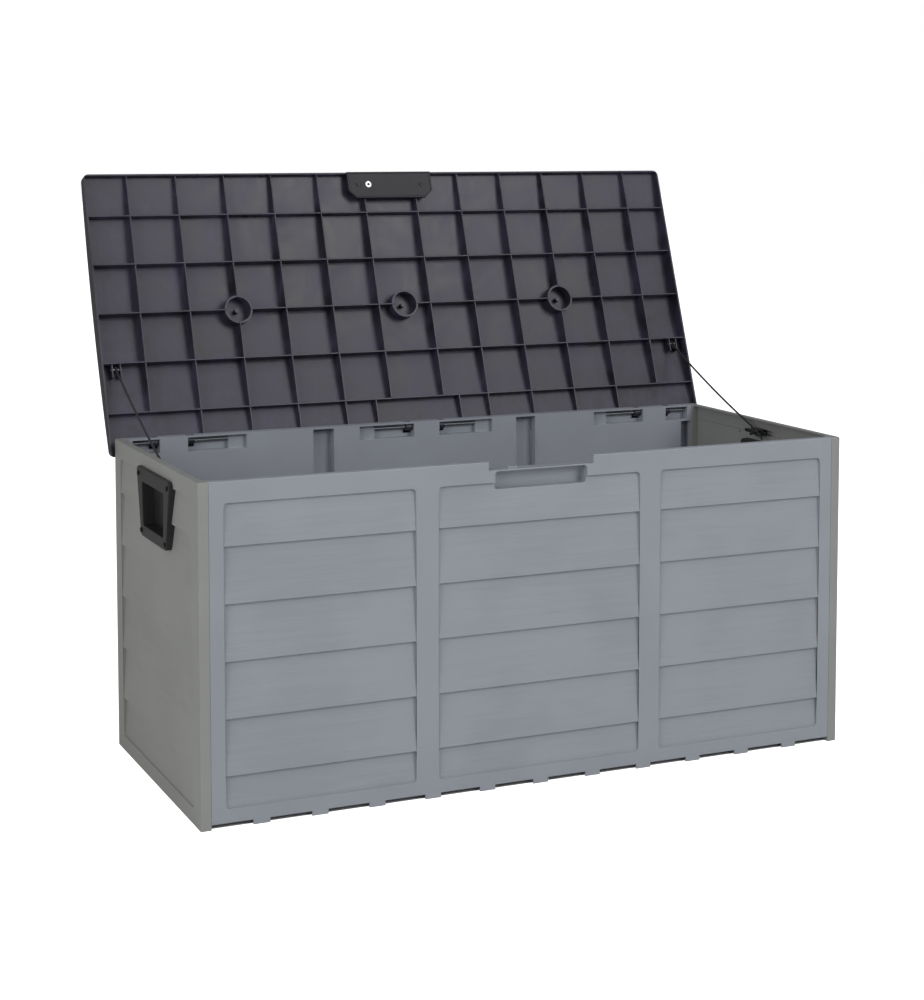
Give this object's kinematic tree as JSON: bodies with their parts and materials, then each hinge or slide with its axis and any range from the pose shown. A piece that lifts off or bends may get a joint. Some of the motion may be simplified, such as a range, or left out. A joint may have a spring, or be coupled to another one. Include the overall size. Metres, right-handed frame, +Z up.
{
  "type": "deck storage box",
  "caption": "Rectangular outdoor storage box with slatted panel walls, recessed end handles and a ribbed lid that swings up on rear hinges and rests open on stay cords.",
  "frame": {"origin": "on the ground under the centre of the box, on the underside of the floor's middle pad", "axes": "+X along the box's length to the right as seen from the front, +Y to the back where the hinges are, +Z up. The lid is stored open, resting on its stay cords"},
  "size_m": [1.12, 0.6496, 0.9479],
  "materials": {
    "wall_plastic": "blow-moulded grey polypropylene, boards with embossed wood grain",
    "end_plastic": "blow-moulded grey polypropylene, boards with embossed wood grain",
    "floor_plastic": "fine matte moulded polypropylene",
    "lid_plastic": "injection-moulded dark violet-grey polypropylene with faint flow marks",
    "latch_plastic": "fine-grained dark moulded plastic",
    "handle_plastic": "fine-grained dark moulded plastic",
    "cleat_plastic": "black moulded nylon",
    "screw_steel": "zinc-plated pan-head screws",
    "pin_steel": "drawn steel rod",
    "cord": "braided black polyester cord"
  },
  "bodies": {
    "box": {"front_panel": "wall_plastic", "back_panel": "wall_plastic", "floor_panel": "floor_plastic", "left_end_panel": "end_plastic", "left_handle": "handle_plastic", "left_handle_screws": "screw_steel", "left_cord_cleat": "cleat_plastic", "left_stay_cord": "cord", "right_end_panel": "end_plastic", "right_handle": "handle_plastic", "right_handle_screws": "screw_steel", "right_cord_cleat": "cleat_plastic", "right_stay_cord": "cord", "left_hinge_pin": "pin_steel", "centre_hinge_pin": "pin_steel", "right_hinge_pin": "pin_steel"},
    "lid": {"lid_panel": "lid_plastic", "latch_plate": "latch_plastic", "latch_screws": "screw_steel", "latch_bush": "pin_steel", "left_cord_pin": "pin_steel", "right_cord_pin": "pin_steel"}
  },
  "joints": [
    {"name": "lid_hinge", "type": "hinge", "parent": "box", "child": "lid", "pos_m": [0, 0.2284, 0.5043], "axis": [1, 0, 0], "range_deg": [0, 110], "deforming": ["left_stay_cord", "right_stay_cord"]}
  ]
}
